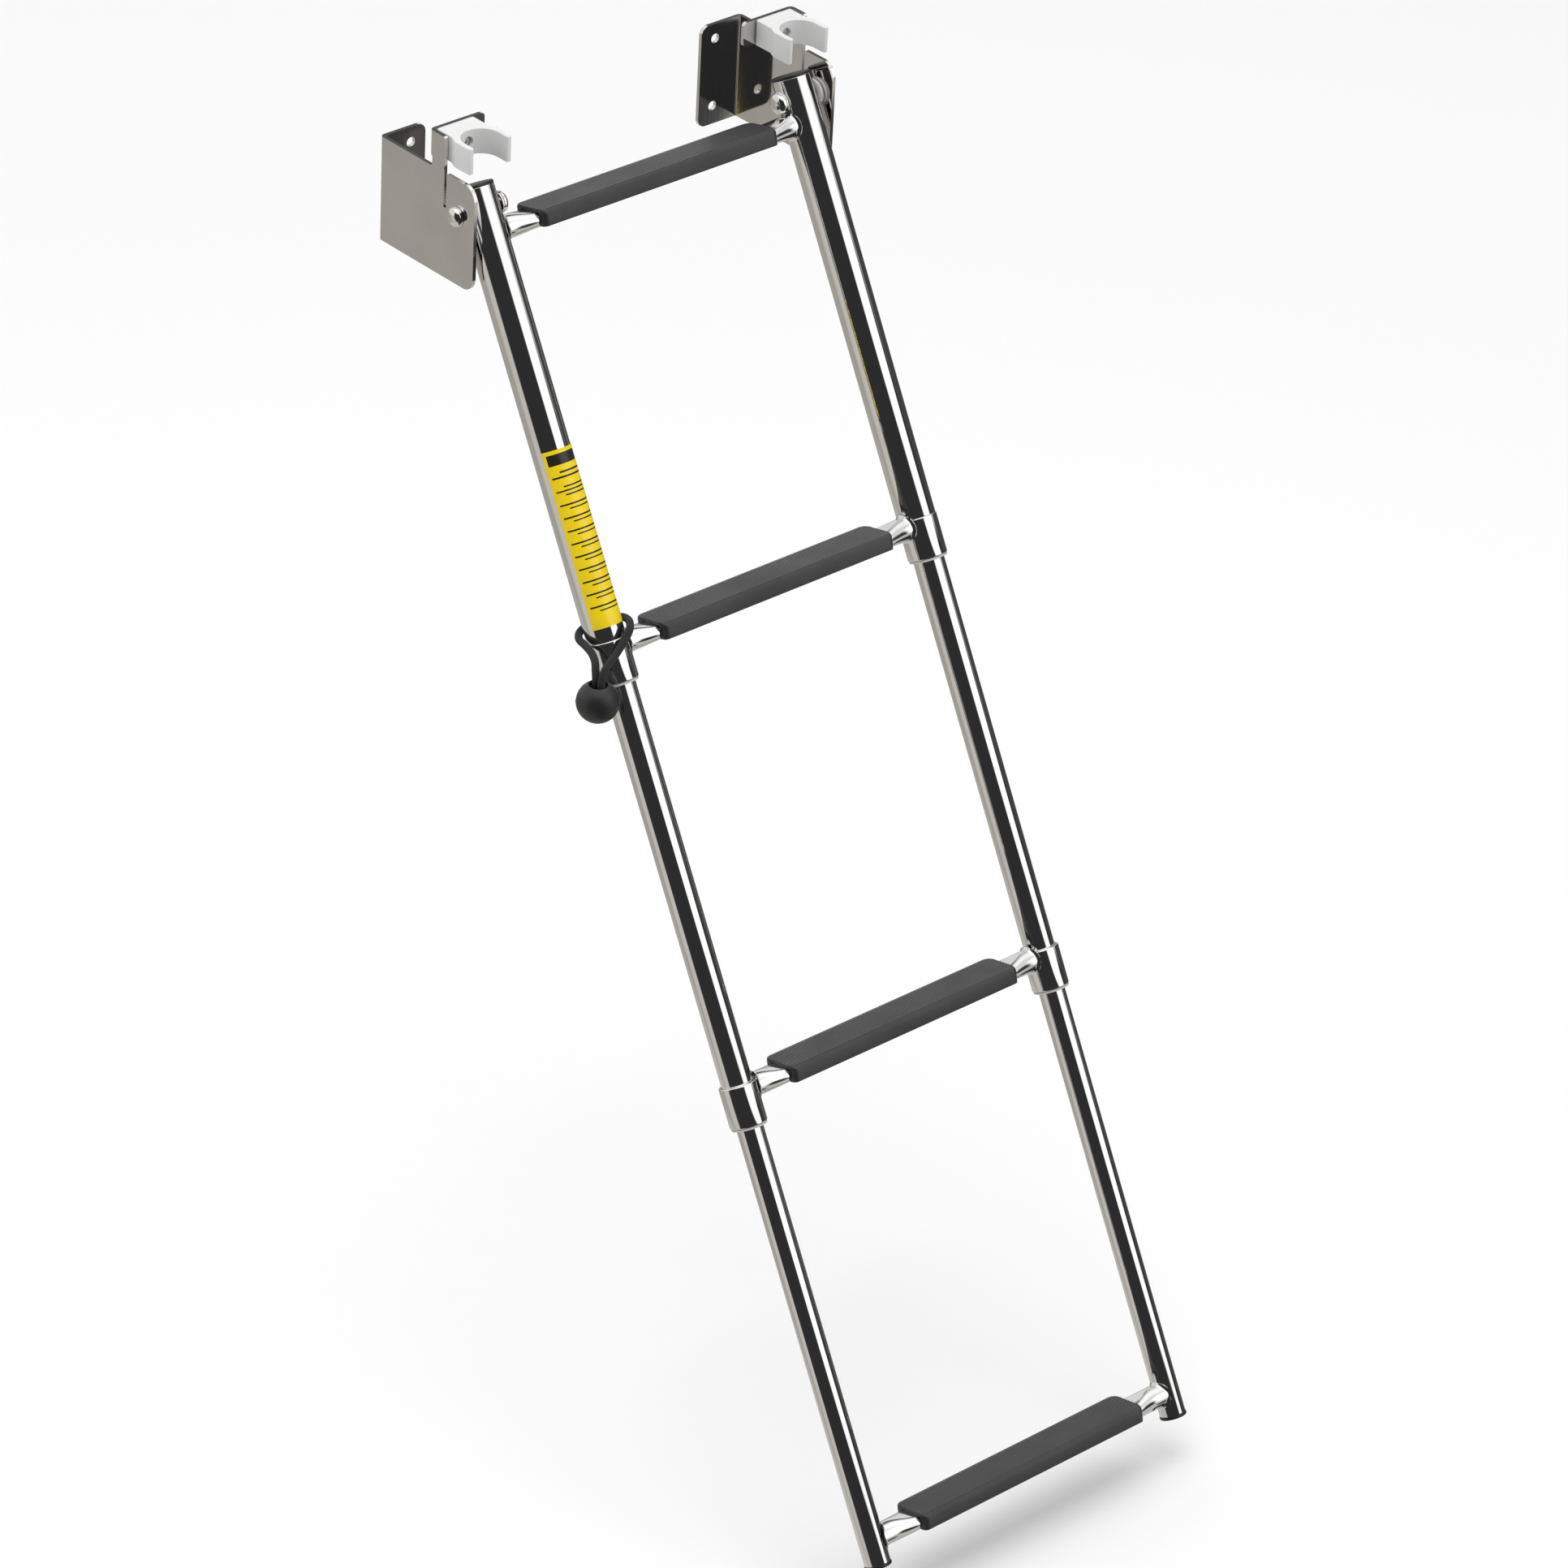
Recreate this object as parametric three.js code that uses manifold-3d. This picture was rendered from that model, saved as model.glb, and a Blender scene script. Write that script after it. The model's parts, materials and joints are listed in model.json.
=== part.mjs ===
// Telescoping boat boarding ladder with four treads, hung from two hull brackets.
// Millimetres. +X is to the right seen from the water, -Y faces the water, +Z is up.
// The origin lies in the plane of the bracket flanges' back faces, midway between the four screw holes.
import * as THREE from 'three';
import { mergeVertices } from 'three/addons/utils/BufferGeometryUtils.js';
import Module from 'manifold-3d';

const wasm = await Module();
wasm.setup();

// ---------------------------------------------------------------- driving dimensions

const TUBE_SPACING = 260; // between the centre lines of the two side tubes
const LEAN = THREE.MathUtils.degToRad(28.5); // of the tubes from the vertical, foot forward
const PIVOT_REACH = 77; // from the flanges' back faces forward to the pivot axis
const PIVOT_RISE = 10; // of the pivot axis above the middle of the screw holes

const GAP = 0.3; // between pieces that touch
const SIDES = 32; // of every side tube and of what fits in or on it

const UPPER = { outer: 12.7, inner: 11.5 }; // side tube radii, section by section
const MIDDLE = { outer: 10.2, inner: 9.4 };
const LOWER = { outer: 8.7, inner: 7.5 };

// Distances down the side tubes from the pivot axis.
const RUNG_AT = [16, 284, 577, 879.4];
const UPPER_TOP = -13.5;
const MIDDLE_TOP = 271;
const LOWER_TOP = 583.5;
const FOOT_BELOW_RUNG = 15.5;

const COLLAR = { above: 5, below: 22, upperRadius: 13.1, middleRadius: 12.3 };
const RUNG = { radius: 7.9, wall: 1.2, halfDepth: 10.6, halfHeight: 5, roundEnd: 116, ovalFrom: 95 };
const TREAD = { length: 192, depth: 30, top: 7.3, bottom: -3.6, tilt: THREE.MathUtils.degToRad(15) };

const SHEET = 2.5; // bracket sheet thickness
const PLATE_OUTER = 148; // |X| of the side plates' outer faces
const PLATE_INNER = PLATE_OUTER - SHEET;
const PLATE = { front: -16, back: PIVOT_REACH, bottom: -47, top: 24.4 };
const FLANGE = { inner: 113.4, holeX: 125, holeRise: 24, holeRadius: 3.25 };
const TAB = { inner: 106, front: 13.8, back: 29, bottom: 31.5, top: 48.4, screwZ: 40 };
const SLIT = { width: 2.4, bottom: 1 };
const CLIP = { bore: 13.1, arm: 4, tip: -9, bottom: 31, top: 48.5, base: 14.4 };

const PIVOT = { shank: 4, hole: 4.4, head: 7.1, headHeight: 5, washer: 1, nut: 6.4, nutHeight: 5.5, boltEnd: 3.4 };

const LABEL = { from: 155, to: 270, start: -156, sweep: 180 };
const CORD_DIAMETER = 5;
const BALL_RADIUS = 13.8;

const TUBE_X = TUBE_SPACING / 2;
const SCREW_DROP = -PIVOT_RISE; // of the screw holes' middle, from the pivot axis

// ---------------------------------------------------------------- materials

const finish = (color, roughness, metalness = 0) => () =>
  new THREE.MeshStandardMaterial({ color, roughness, metalness });
const steel = finish('#cfcdc9', 0.08, 1);
const fastenerSteel = finish('#d6d6d4', 0.12, 1);
const blackPlastic = finish('#2b2b2d', 0.45);
const blackCap = finish('#1c1c1e', 0.5);
const whiteNylon = finish('#e9e9e6', 0.4);
const greyNylon = finish('#c9c8c4', 0.5);
const blackRubber = finish('#232324', 0.7);
const blackCord = finish('#1d1d1f', 0.9);
const yellowSticker = finish('#f2d21a', 0.35);

// ---------------------------------------------------------------- geometry helpers

function toSolid(geometry) {
  const bare = geometry.clone();
  bare.deleteAttribute('normal');
  bare.deleteAttribute('uv');
  const merged = mergeVertices(bare, 1e-4);
  return new wasm.Manifold(new wasm.Mesh({
    numProp: 3,
    vertProperties: new Float32Array(merged.attributes.position.array),
    triVerts: new Uint32Array(merged.index.array),
  }));
}

function toGeometry(solid) {
  const mesh = solid.getMesh();
  const geometry = new THREE.BufferGeometry();
  geometry.setAttribute('position', new THREE.BufferAttribute(mesh.vertProperties, 3));
  geometry.setIndex(new THREE.BufferAttribute(mesh.triVerts, 1));
  geometry.computeVertexNormals();
  return geometry;
}

const cut = (base, ...tools) => tools.reduce((solid, tool) => solid.subtract(tool), base);

// A round solid about Z. The profile is [radius, z] points, anticlockwise, on the axis or closed.
function turned(profile, sides = SIDES) {
  const points = profile.map(([r, z]) => new THREE.Vector2(r, z));
  return new THREE.LatheGeometry(points, sides).rotateX(Math.PI / 2);
}

// A round hollow solid about Z between two heights.
function sleeve(inner, outer, low, high, sides = SIDES) {
  return turned([[inner, low], [outer, low], [outer, high], [inner, high], [inner, low]], sides);
}

function disc(radius, low, high, sides = SIDES) {
  return turned([[0, low], [radius, low], [radius, high], [0, high]], sides);
}

// An outline whose corners are [x, y, radius], joined by straight lines and rounded.
function roundedShape(corners) {
  const shape = new THREE.Shape();
  corners.forEach(([x, y, radius = 0], i) => {
    const here = new THREE.Vector2(x, y);
    const before = new THREE.Vector2(...corners.at(i - 1).slice(0, 2)).sub(here).normalize();
    const after = new THREE.Vector2(...corners[(i + 1) % corners.length].slice(0, 2)).sub(here).normalize();
    const reach = radius / Math.tan(before.angleTo(after) / 2);
    const start = here.clone().addScaledVector(before, reach);
    const end = here.clone().addScaledVector(after, reach);
    if (i === 0) shape.moveTo(start.x, start.y);
    else shape.lineTo(start.x, start.y);
    if (radius > 0) shape.quadraticCurveTo(x, y, end.x, end.y);
  });
  shape.closePath();
  return shape;
}

function extruded(shape, depth, curveSegments = 5) {
  return new THREE.ExtrudeGeometry(shape, { depth, bevelEnabled: false, curveSegments, steps: 1 });
}

// Prisms whose outline is drawn in the plane across the axis that they run along.
const alongZ = (shape, low, high) => extruded(shape, high - low).translate(0, 0, low);
const alongX = (shape, low, high) =>
  extruded(shape, high - low).rotateX(Math.PI / 2).rotateZ(Math.PI / 2).translate(low, 0, 0);
const alongY = (shape, low, high) => extruded(shape, high - low).rotateX(Math.PI / 2).translate(0, high, 0);

const rodX = (geometry) => geometry.rotateY(Math.PI / 2);

function box(x0, x1, y0, y1, z0, z1) {
  const geometry = new THREE.BoxGeometry(x1 - x0, y1 - y0, z1 - z0);
  return geometry.translate((x0 + x1) / 2, (y0 + y1) / 2, (z0 + z1) / 2);
}

function mirroredX(geometry) {
  const mirrored = toGeometry(toSolid(geometry)).scale(-1, 1, 1);
  const index = mirrored.index.array;
  for (let i = 0; i < index.length; i += 3) [index[i + 1], index[i + 2]] = [index[i + 2], index[i + 1]];
  return mirrored;
}

function addNode(group, name, geometry, material) {
  const mesh = new THREE.Mesh(geometry, material());
  mesh.name = name;
  group.add(mesh);
  return mesh;
}

// One piece for each side: the geometry is made for the right side and mirrored for the left.
function addPair(group, name, geometry, material) {
  addNode(group, `${name}_right`, geometry, material);
  addNode(group, `${name}_left`, mirroredX(geometry), material);
}

// ---------------------------------------------------------------- hull brackets

// Plan of a sheet bent from the side plate round to an inward leaf, as seen from above.
function bentPlan(front, back, leafEnd) {
  const inside = 1;
  const outside = inside + SHEET;
  return roundedShape([
    [PLATE_INNER, front],
    [PLATE_OUTER, front],
    [PLATE_OUTER, back, outside],
    [leafEnd, back],
    [leafEnd, back - SHEET],
    [PLATE_INNER, back - SHEET, inside],
  ]);
}

function bracketGeometry() {
  const { front, back, bottom, top } = PLATE;
  const body = toSolid(alongZ(bentPlan(front, back, FLANGE.inner), bottom, top));
  const sideOutline = roundedShape([
    [front, bottom, 9], [back + 1, bottom], [back + 1, top], [front, top, 10],
  ]);
  const frontOutline = roundedShape([
    [FLANGE.inner - 0.5, bottom - 0.5, 6], [PLATE_OUTER + 1, bottom - 0.5],
    [PLATE_OUTER + 1, top + 0.5], [FLANGE.inner - 0.5, top + 0.5, 6],
  ]);
  const ear = toSolid(alongZ(bentPlan(TAB.front, TAB.back, TAB.inner), top - SHEET, TAB.top));
  const earOutline = roundedShape([
    [TAB.inner, TAB.bottom, 3], [PLATE_INNER - 1, TAB.bottom], [PLATE_INNER - 1, top - 5],
    [PLATE_OUTER + 1, top - 5], [PLATE_OUTER + 1, TAB.top + 1], [TAB.inner, TAB.top + 1],
  ]);
  const flangeHoles = [-1, 1].map((side) => {
    const z = SCREW_DROP + side * FLANGE.holeRise;
    return toSolid(disc(FLANGE.holeRadius, back - 10, back + 5, 20).rotateX(-Math.PI / 2)
      .translate(FLANGE.holeX, 0, z));
  });
  const clipHole = toSolid(disc(2.4, 20, 35, 16).rotateX(-Math.PI / 2).translate(TUBE_X, 0, TAB.screwZ));
  const pivotHole = toSolid(rodX(disc(PIVOT.hole, PLATE_INNER - 5, PLATE_OUTER + 5, 24)));
  const slit = toSolid(box(PLATE_INNER - 1, PLATE_OUTER + 1, TAB.front - SLIT.width, TAB.front, SLIT.bottom, top + 1));
  const blank = body.intersect(toSolid(alongX(sideOutline, 90, 150)))
    .intersect(toSolid(alongY(frontOutline, front - 1, back + 1)))
    .add(ear.intersect(toSolid(alongY(earOutline, 0, back))));
  return toGeometry(cut(blank, ...flangeHoles, clipHole, pivotHole, slit));
}

// A nylon fork that the stowed side tube drops into: round at the back, straight arms, open in front.
function clipGeometry() {
  const { bore, arm, tip, bottom, top, base } = CLIP;
  const back = TAB.back - SHEET - GAP;
  const outer = bore + arm;
  const shape = new THREE.Shape();
  shape.moveTo(TUBE_X - base, back);
  shape.lineTo(TUBE_X - base, bore * 0.75);
  shape.quadraticCurveTo(TUBE_X - outer, bore * 0.4, TUBE_X - outer, 0);
  shape.lineTo(TUBE_X - outer + 0.3, tip + 2);
  shape.quadraticCurveTo(TUBE_X - outer + 0.3, tip, TUBE_X - bore - arm / 2, tip);
  shape.quadraticCurveTo(TUBE_X - bore, tip, TUBE_X - bore, tip + 2);
  shape.lineTo(TUBE_X - bore, 0);
  shape.absarc(TUBE_X, 0, bore, Math.PI, 0, true);
  shape.lineTo(TUBE_X + bore, tip + 2);
  shape.quadraticCurveTo(TUBE_X + bore, tip, TUBE_X + bore + arm / 2, tip);
  shape.quadraticCurveTo(TUBE_X + outer - 0.3, tip, TUBE_X + outer - 0.3, tip + 2);
  shape.lineTo(TUBE_X + outer, 0);
  shape.quadraticCurveTo(TUBE_X + outer, bore * 0.4, TUBE_X + base, bore * 0.75);
  shape.lineTo(TUBE_X + base, back);
  shape.closePath();
  const block = toSolid(extruded(shape, top - bottom, 8).translate(0, 0, bottom));
  const along = (geometry) => toSolid(geometry.rotateX(-Math.PI / 2).translate(TUBE_X, 0, TAB.screwZ));
  return toGeometry(cut(block, along(disc(2.4, 0, back + 5, 16)), along(disc(3.8, 0, bore + 4.5, 20))));
}

// A pan head screw through the clip's base and the tab, held by a hexagon nut behind the tab.
function clipScrewGeometry() {
  const head = CLIP.bore + 4.5 - GAP;
  const profile = [
    [0, head - 2.4], [2.3, head - 2.3], [3.2, head - 1.4], [3.3, head],
    [2, head], [2, TAB.back + 4.4], [0, TAB.back + 4.4],
  ];
  return turned(profile, 16).rotateX(-Math.PI / 2).translate(TUBE_X, 0, TAB.screwZ);
}

function hexagonNut(radius, bore, low, high) {
  return cut(toSolid(disc(radius, low, high, 6)), toSolid(disc(bore, low - 1, high + 1, 16)));
}

function clipNutGeometry() {
  const nut = toGeometry(hexagonNut(4, 2 + GAP, TAB.back + GAP, TAB.back + 3.5));
  return nut.rotateX(-Math.PI / 2).translate(TUBE_X, 0, TAB.screwZ);
}

// Along +X: domed head on the tube's inner side, shank through the tube, spacer, plate and nut.
function pivotBoltGeometry() {
  const seat = TUBE_X - UPPER.outer - PIVOT.washer - 2 * GAP;
  const { head, headHeight, shank, boltEnd } = PIVOT;
  const steps = 4;
  const profile = [];
  for (let i = 0; i <= steps; i += 1) {
    const angle = (Math.PI / 2) * (i / steps);
    profile.push([head * Math.sin(angle), seat - 1.2 - (headHeight - 1.2) * Math.cos(angle)]);
  }
  profile.push([head, seat], [shank, seat], [shank, PLATE_OUTER + boltEnd], [0, PLATE_OUTER + boltEnd]);
  return rodX(turned(profile, 24));
}

function pivotWasherGeometry() {
  const seat = TUBE_X - UPPER.outer - GAP;
  return rodX(sleeve(PIVOT.hole, PIVOT.head, seat - PIVOT.washer, seat, 24));
}

function pivotSpacerGeometry() {
  return rodX(sleeve(PIVOT.hole, 9, TUBE_X + UPPER.outer + GAP, PLATE_INNER - GAP, 24));
}

// A low round cap nut, with a blind hole for the bolt's end.
function pivotNutGeometry() {
  const { nut, nutHeight, shank, boltEnd } = PIVOT;
  const seat = PLATE_OUTER + GAP;
  const bore = shank + GAP;
  const rim = 1.5;
  const steps = 6;
  const profile = [[bore, seat], [nut, seat]];
  for (let i = 0; i < steps; i += 1) {
    const angle = (Math.PI / 2) * (i / steps);
    profile.push([nut * Math.cos(angle), seat + rim + (nutHeight - rim) * Math.sin(angle)]);
  }
  const end = seat + boltEnd;
  profile.push([0, seat + nutHeight], [0, end], [bore, end], [bore, seat]);
  return rodX(turned(profile, 24));
}

function buildBrackets() {
  const group = new THREE.Group();
  addPair(group, 'bracket', bracketGeometry(), steel);
  addPair(group, 'clip', clipGeometry(), whiteNylon);
  addPair(group, 'clip_screw', clipScrewGeometry(), fastenerSteel);
  addPair(group, 'clip_nut', clipNutGeometry(), fastenerSteel);
  addPair(group, 'pivot_bolt', pivotBoltGeometry(), fastenerSteel);
  addPair(group, 'pivot_washer', pivotWasherGeometry(), fastenerSteel);
  addPair(group, 'pivot_spacer', pivotSpacerGeometry(), whiteNylon);
  addPair(group, 'pivot_nut', pivotNutGeometry(), fastenerSteel);
  return group;
}

// ---------------------------------------------------------------- ladder pieces
// These are drawn with Z up along the side tubes, so a distance down the tubes is a negative height.

const onTube = (geometry) => geometry.translate(TUBE_X, 0, 0);
const tubePiece = ({ inner, outer }, from, to) => onTube(sleeve(inner, outer, -to, -from));

function upperTubeGeometry() {
  const tube = toSolid(tubePiece(UPPER, UPPER_TOP, RUNG_AT[1] - COLLAR.above - GAP));
  return toGeometry(cut(tube, toSolid(rodX(disc(PIVOT.hole, 100, 160, 24)))));
}

// A push-in end plug: a round cap with a chamfered rim, and a stem that fits inside the tube.
function plugGeometry(tube, capRadius, capHeight, stemLength, sides = SIDES) {
  const stem = tube.inner - GAP;
  return turned([
    [0, -stemLength], [stem, -stemLength], [stem, GAP], [capRadius, GAP],
    [capRadius, capHeight - 0.5], [capRadius - 0.8, capHeight], [0, capHeight],
  ], sides);
}

// A nylon bush pushed up into a collar from below, with a thin lip under the collar's end.
function bushGeometry(bore, stemRadius, lipRadius, collarEnd, length) {
  const low = -collarEnd - GAP;
  return onTube(turned([
    [bore, low - 1.4], [lipRadius - 0.5, low - 1.4], [lipRadius, low - 1], [lipRadius, low],
    [stemRadius, low], [stemRadius, low + length], [bore, low + length], [bore, low - 1.4],
  ]));
}

// A nylon slider round the top end of an inner tube, which runs inside the tube above it.
function sliderGeometry(tube, runRadius, top, skirt) {
  const high = -top + GAP + 1.2;
  return onTube(turned([
    [tube.inner, high - 1.2], [tube.outer + GAP, high - 1.2], [tube.outer + GAP, -top - skirt],
    [runRadius, -top - skirt], [runRadius, high - 0.5], [runRadius - 0.5, high],
    [tube.inner, high], [tube.inner, high - 1.2],
  ]));
}

// A slider plugged into the top of the lowest tube, as there is no room for a skirt round it.
function plugSliderGeometry(tube, runRadius, top, stemLength) {
  const face = -top + GAP;
  const bore = tube.inner - 2;
  return onTube(turned([
    [bore, -top - stemLength], [tube.inner - GAP, -top - stemLength], [tube.inner - GAP, face],
    [runRadius, face], [runRadius, face + 3.5], [runRadius - 0.5, face + 4],
    [bore, face + 4], [bore, -top - stemLength],
  ]));
}

// How far a rung's section has gone from round, 0, to oval, 1, at a distance from the ladder's middle.
function ovalShare(x) {
  const share = (RUNG.roundEnd - Math.abs(x)) / (RUNG.roundEnd - RUNG.ovalFrom);
  return THREE.MathUtils.smoothstep(share, 0, 1);
}

// A bar along X whose section goes from round at both ends to a flat oval under the tread.
function rungBar(inset, halfLength) {
  const sides = 20;
  const rows = 14;
  const bar = rodX(new THREE.CylinderGeometry(1, 1, 2 * halfLength, sides, rows).rotateX(Math.PI / 2));
  const position = bar.attributes.position;
  for (let i = 0; i < position.count; i += 1) {
    const row = Math.round(((position.getX(i) / halfLength + 1) / 2) * rows);
    const x = stationAt(row, rows, halfLength);
    const share = ovalShare(x);
    const length = Math.hypot(position.getY(i), position.getZ(i));
    const angle = Math.atan2(position.getZ(i), position.getY(i));
    const round = RUNG.radius;
    const flat = RUNG.halfHeight;
    const straight = RUNG.halfDepth - flat;
    const ovalY = flat * Math.cos(angle) + straight * Math.sign(Math.round(Math.cos(angle) * 1e6));
    const y = THREE.MathUtils.lerp(round * Math.cos(angle), ovalY, share);
    const z = THREE.MathUtils.lerp(round * Math.sin(angle), flat * Math.sin(angle), share);
    const shrink = length * (1 - inset / Math.hypot(y, z));
    position.setXYZ(i, x, y * shrink, z * shrink);
  }
  return bar;
}

// Sections crowd into the two tapers and leave the straight middle as one long span.
function stationAt(row, rows, halfLength) {
  const half = rows / 2;
  const step = Math.abs(row - half);
  if (step === 0) return 0;
  const inner = RUNG.ovalFrom - 2;
  const x = inner + ((halfLength - inner) * (step - 1)) / (half - 1);
  return Math.sign(row - half) * x;
}

// A rung, flattened front to back and tilted with its tread, its ends cut round to sit on the side tubes.
function rungGeometry(at, sideRadius) {
  const reach = TUBE_X - sideRadius + 6;
  const outer = toSolid(rungBar(0, reach).rotateX(TREAD.tilt));
  const inner = toSolid(rungBar(RUNG.wall, reach + 2).rotateX(TREAD.tilt));
  const saddles = [-TUBE_X, TUBE_X].map((x) =>
    toSolid(disc(sideRadius + GAP, -20, 20).translate(x, 0, 0)));
  return toGeometry(cut(outer, inner, ...saddles)).translate(0, 0, -at);
}

// Section of a snap-on tread, front to the left: ribbed top, round nose, and lips that grip the rung.
function treadShape() {
  const { depth, top, bottom } = TREAD;
  const half = depth / 2;
  const wall = 2.4;
  const inside = half - wall;
  const under = RUNG.halfHeight + GAP;
  const groove = 0.5;
  const pitch = 4.4;
  const shape = new THREE.Shape();
  shape.moveTo(-half, bottom + 1);
  shape.lineTo(-half, top - 3.5);
  shape.quadraticCurveTo(-half, top, -half + 3.5, top);
  for (let i = -2; i <= 2; i += 1) {
    shape.lineTo(i * pitch - 0.8, top);
    shape.lineTo(i * pitch - 0.4, top - groove);
    shape.lineTo(i * pitch + 0.4, top - groove);
    shape.lineTo(i * pitch + 0.8, top);
  }
  shape.lineTo(half - 2, top);
  shape.quadraticCurveTo(half, top, half, top - 2);
  shape.lineTo(half, bottom + 1);
  shape.quadraticCurveTo(half, bottom, half - 1, bottom);
  shape.quadraticCurveTo(inside - 1, bottom, inside - 1.4, bottom + 1);
  shape.lineTo(inside, bottom + 3);
  shape.lineTo(inside, under - 1);
  shape.quadraticCurveTo(inside, under, inside - 1, under);
  shape.lineTo(1 - inside, under);
  shape.quadraticCurveTo(-inside, under, -inside, under - 1);
  shape.lineTo(-inside, bottom + 3);
  shape.lineTo(1.4 - inside, bottom + 1);
  shape.quadraticCurveTo(1 - inside, bottom, 1 - half, bottom);
  shape.quadraticCurveTo(-half, bottom, -half, bottom + 1);
  shape.closePath();
  return shape;
}

function treadGeometry(at) {
  const half = TREAD.length / 2;
  const depth = TREAD.depth / 2;
  const plan = new THREE.Shape();
  const corner = 5;
  const front = 3;
  plan.moveTo(front - half, -depth);
  plan.lineTo(half - front, -depth);
  plan.quadraticCurveTo(half, -depth, half, front - depth);
  plan.lineTo(half, depth - corner);
  plan.quadraticCurveTo(half, depth, half - corner, depth);
  plan.lineTo(corner - half, depth);
  plan.quadraticCurveTo(-half, depth, -half, depth - corner);
  plan.lineTo(-half, front - depth);
  plan.quadraticCurveTo(-half, -depth, front - half, -depth);
  const block = new THREE.ExtrudeGeometry(plan, { depth: 30, bevelEnabled: false, curveSegments: 3 });
  const channel = toSolid(alongX(treadShape(), -half - 1, half + 1));
  const tread = channel.intersect(toSolid(block.translate(0, 0, -15)));
  return toGeometry(tread).rotateX(TREAD.tilt).translate(0, 0, -at);
}

function addStep(group, number, at, sideRadius) {
  addNode(group, `rung_${number}`, rungGeometry(at, sideRadius), steel);
  addNode(group, `tread_${number}`, treadGeometry(at), blackPlastic);
}

function collarGeometry(bore, radius, at) {
  return tubePiece({ inner: bore, outer: radius }, at - COLLAR.above, at + COLLAR.below);
}

// ---------------------------------------------------------------- ladder sections

function buildUpperSection() {
  const group = new THREE.Group();
  const collarEnd = RUNG_AT[1] + COLLAR.below;
  const plug = onTube(plugGeometry(UPPER, UPPER.outer, 2, 6.5).translate(0, 0, -UPPER_TOP));
  addPair(group, 'upper_tube', upperTubeGeometry(), steel);
  addPair(group, 'upper_end_plug', plug, blackCap);
  addPair(group, 'upper_collar', collarGeometry(UPPER.inner, COLLAR.upperRadius, RUNG_AT[1]), steel);
  addPair(group, 'upper_bush',
    bushGeometry(MIDDLE.outer + 0.2, UPPER.inner - GAP, COLLAR.upperRadius - 0.5, collarEnd, 30), greyNylon);
  addStep(group, 1, RUNG_AT[0], UPPER.outer);
  addStep(group, 2, RUNG_AT[1], COLLAR.upperRadius);
  addNode(group, 'label', labelGeometry(), yellowSticker);
  return group;
}

function buildMiddleSection() {
  const group = new THREE.Group();
  const collarEnd = RUNG_AT[2] + COLLAR.below;
  const collarBore = MIDDLE.outer + GAP;
  addPair(group, 'middle_tube', tubePiece(MIDDLE, MIDDLE_TOP, RUNG_AT[2] + 6.5), steel);
  addPair(group, 'middle_slider', sliderGeometry(MIDDLE, UPPER.inner - GAP, MIDDLE_TOP, 4.5), whiteNylon);
  addPair(group, 'middle_collar', collarGeometry(collarBore, COLLAR.middleRadius, RUNG_AT[2]), steel);
  addPair(group, 'middle_bush',
    bushGeometry(LOWER.outer + 0.2, collarBore - GAP, COLLAR.middleRadius - 0.5, collarEnd, 15), greyNylon);
  addStep(group, 3, RUNG_AT[2], COLLAR.middleRadius);
  return group;
}

function buildLowerSection() {
  const group = new THREE.Group();
  const foot = RUNG_AT[3] + FOOT_BELOW_RUNG;
  const cap = onTube(plugGeometry(LOWER, LOWER.outer + 0.3, 2.3, 10).rotateX(Math.PI).translate(0, 0, -foot));
  addPair(group, 'lower_tube', tubePiece(LOWER, LOWER_TOP, foot), steel);
  addPair(group, 'lower_slider', plugSliderGeometry(LOWER, MIDDLE.inner - 0.2, LOWER_TOP, 12), whiteNylon);
  addPair(group, 'foot_cap', cap, blackCap);
  addStep(group, 4, RUNG_AT[3], LOWER.outer);
  return group;
}

// A sticker wrapped round the inner and front half of the left upper tube.
function labelGeometry() {
  const inner = UPPER.outer + GAP;
  const outer = inner + 0.3;
  const start = THREE.MathUtils.degToRad(LABEL.start);
  const end = start + THREE.MathUtils.degToRad(LABEL.sweep);
  const shape = new THREE.Shape();
  shape.absarc(-TUBE_X, 0, outer, start, end, false);
  shape.absarc(-TUBE_X, 0, inner, end, start, true);
  shape.closePath();
  return extruded(shape, LABEL.to - LABEL.from, SIDES / 4).translate(0, 0, -LABEL.to);
}

// ---------------------------------------------------------------- bungee tie
// Each point is [across from the left tube's centre line, towards the hull, down from the pivot].

const BALL_AT = [-28, -12, 311];
const CORD_ROUTE = [
  [-28, -14.3, 301.6], [-28, -16.9, 296.6], [-26.6, -17, 291.8], [-23.2, -14.2, 287], [-19.6, -8.4, 282.4],
  [-16.9, -0.6, 278], [-13.6, 9.2, 273.6], [-7, 15.2, 270.6], [1.5, 16.6, 269], [9.8, 13.6, 268.4],
  [15.3, 7, 268.6], [16.7, -0.5, 269.6], [14.3, -8.7, 272], [8.4, -14.8, 276], [0, -17.6, 281],
  [-9.5, -19.4, 286.2], [-18.6, -21.4, 290.2], [-25, -22.6, 294], [-28, -21.8, 299], [-28, -19, 304.2],
];

const fromLeftTube = ([across, back, down]) => new THREE.Vector3(across - TUBE_X, back, -down);

function cordGeometry() {
  const sides = 10;
  const section = new THREE.Shape();
  section.absarc(0, 0, CORD_DIAMETER / 2, 0, 2 * Math.PI, false);
  const extrudePath = new THREE.CatmullRomCurve3(CORD_ROUTE.map(fromLeftTube), false, 'centripetal');
  return new THREE.ExtrudeGeometry(section, { steps: 44, curveSegments: sides / 2, bevelEnabled: false, extrudePath });
}

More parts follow.
